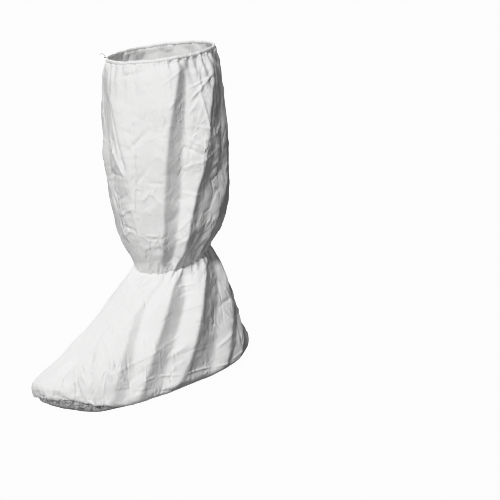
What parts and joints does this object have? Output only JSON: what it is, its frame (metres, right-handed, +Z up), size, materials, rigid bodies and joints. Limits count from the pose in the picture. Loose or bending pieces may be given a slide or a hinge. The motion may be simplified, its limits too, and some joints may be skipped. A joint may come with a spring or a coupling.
{
  "type": "boot cover",
  "caption": "Tall disposable boot cover of white film-like cloth, gathered at the ankle, with a rolled elastic hem at the top and a grey non-slip sole.",
  "frame": {"origin": "on the sole's inner face, under the middle of the ankle, where the shoe of the wearer stands", "axes": "+Z up the leg, -Y towards the toe, +X towards the side that the picture shows"},
  "size_m": [0.1737, 0.3318, 0.4497],
  "materials": {
    "cloth": "white film-like nonwoven cloth with fine crumples",
    "hem": "white cloth rolled over elastic and stitched",
    "elastic": "ribbed white elastic",
    "sole": "grey non-slip coated cloth, mottled and puckered"
  },
  "bodies": {
    "root": {"left_panel": "cloth", "right_panel": "cloth", "top_hem": "hem", "ankle_elastic": "elastic", "sole": "sole"}
  },
  "joints": []
}
